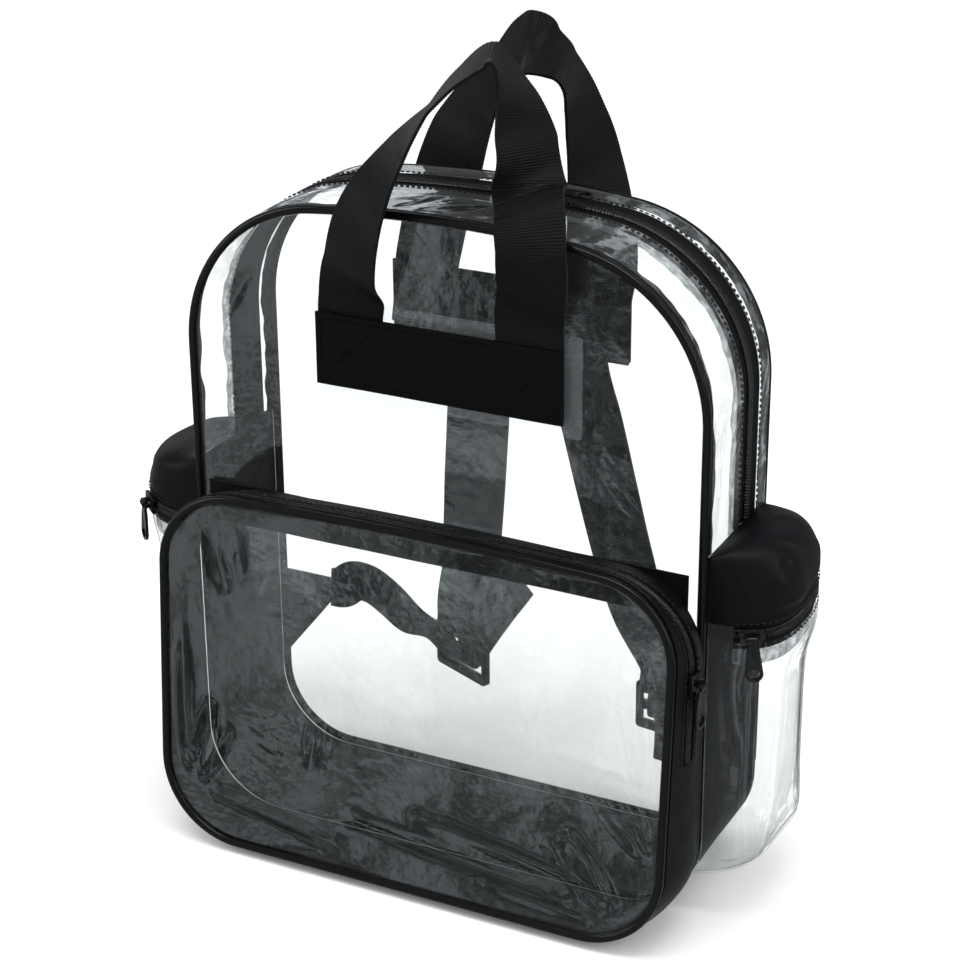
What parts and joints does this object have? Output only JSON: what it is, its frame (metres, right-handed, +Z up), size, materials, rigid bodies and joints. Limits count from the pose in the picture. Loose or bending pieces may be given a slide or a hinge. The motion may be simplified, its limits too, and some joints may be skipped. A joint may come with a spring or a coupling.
{
  "type": "clear backpack",
  "caption": "See-through PVC backpack with black nylon base, zipped front and side pockets, webbing carry handles and slack shoulder straps.",
  "frame": {"origin": "middle of the flat bottom on which the bag stands, on the lower gusset's underside", "axes": "+Z up, -Y the way the bag's front faces, +X the side on the viewer's right when the front is looked at"},
  "size_m": [0.3979, 0.1785, 0.4582],
  "materials": {
    "clear_pvc": "clear glossy PVC sheet",
    "black_nylon": "matt coated nylon cloth",
    "black_webbing": "ribbed polyester webbing",
    "black_piping": "satin PVC piping",
    "black_zip_tape": "woven zip tape",
    "black_zip_coil": "nylon coil",
    "black_slider": "black lacquered die-cast metal",
    "black_pull": "moulded pull",
    "black_plastic": "moulded acetal"
  },
  "bodies": {
    "bag": {"front_panel": "clear_pvc", "front_piping": "black_piping", "rear_panel": "clear_pvc", "rear_piping": "black_piping", "upper_gusset_front": "clear_pvc", "upper_gusset_rear": "clear_pvc", "main_zip_tape": "black_zip_tape", "main_zip_coil": "black_zip_coil", "lower_gusset": "black_nylon", "pocket_lower_gusset": "black_nylon", "pocket_upper_gusset_rear": "black_nylon", "pocket_upper_gusset_front": "black_nylon", "pocket_zip_tape": "black_zip_tape", "pocket_zip_coil": "black_zip_coil", "pocket_piping": "black_piping", "pocket_front_panel": "clear_pvc", "pocket_facing": "black_nylon", "side_pocket_clear_left": "clear_pvc", "side_pocket_hood_left": "black_nylon", "side_zip_tape_left": "black_zip_tape", "side_zip_coil_left": "black_zip_coil", "side_pocket_clear_right": "clear_pvc", "side_pocket_hood_right": "black_nylon", "side_zip_tape_right": "black_zip_tape", "side_zip_coil_right": "black_zip_coil", "front_patch_backing": "clear_pvc", "front_handle": "black_webbing", "front_handle_patch": "black_webbing", "rear_handle": "black_webbing", "rear_handle_patch": "black_webbing", "shoulder_strap_left": "black_webbing", "shoulder_strap_right": "black_webbing", "ladder_lock_left": "black_plastic", "ladder_lock_right": "black_plastic", "strap_tab_left": "black_nylon", "strap_tab_right": "black_nylon", "lower_strap_left": "black_webbing", "lower_strap_right": "black_webbing", "main_zip_slider": "black_slider", "pocket_zip_slider": "black_slider", "side_zip_left_slider": "black_slider", "side_zip_right_slider": "black_slider"},
    "main_pull": {"main_zip_pull": "black_pull"},
    "pocket_pull": {"pocket_zip_pull": "black_pull"},
    "side_left_pull": {"side_zip_left_pull": "black_pull"},
    "side_right_pull": {"side_zip_right_pull": "black_pull"}
  },
  "joints": [
    {"name": "main_pull_swing", "type": "hinge", "parent": "bag", "child": "main_pull", "pos_m": [0.03828, 0.013, 0.37806], "axis": [0, -1, 0], "range_deg": [0, 150]},
    {"name": "pocket_pull_swing", "type": "hinge", "parent": "bag", "child": "pocket_pull", "pos_m": [0.16137, -0.06838, 0.15568], "axis": [-0.1545, -0.988, 0], "range_deg": [0, 150]},
    {"name": "side_left_pull_swing", "type": "hinge", "parent": "bag", "child": "side_left_pull", "pos_m": [-0.19518, -0.03344, 0.17383], "axis": [-0.7728, 0.6234, 0.119], "range_deg": [0, 150]},
    {"name": "side_right_pull_swing", "type": "hinge", "parent": "bag", "child": "side_right_pull", "pos_m": [0.17755, -0.04017, 0.17265], "axis": [-0.925, -0.3724, -0.0758], "range_deg": [0, 150]}
  ]
}
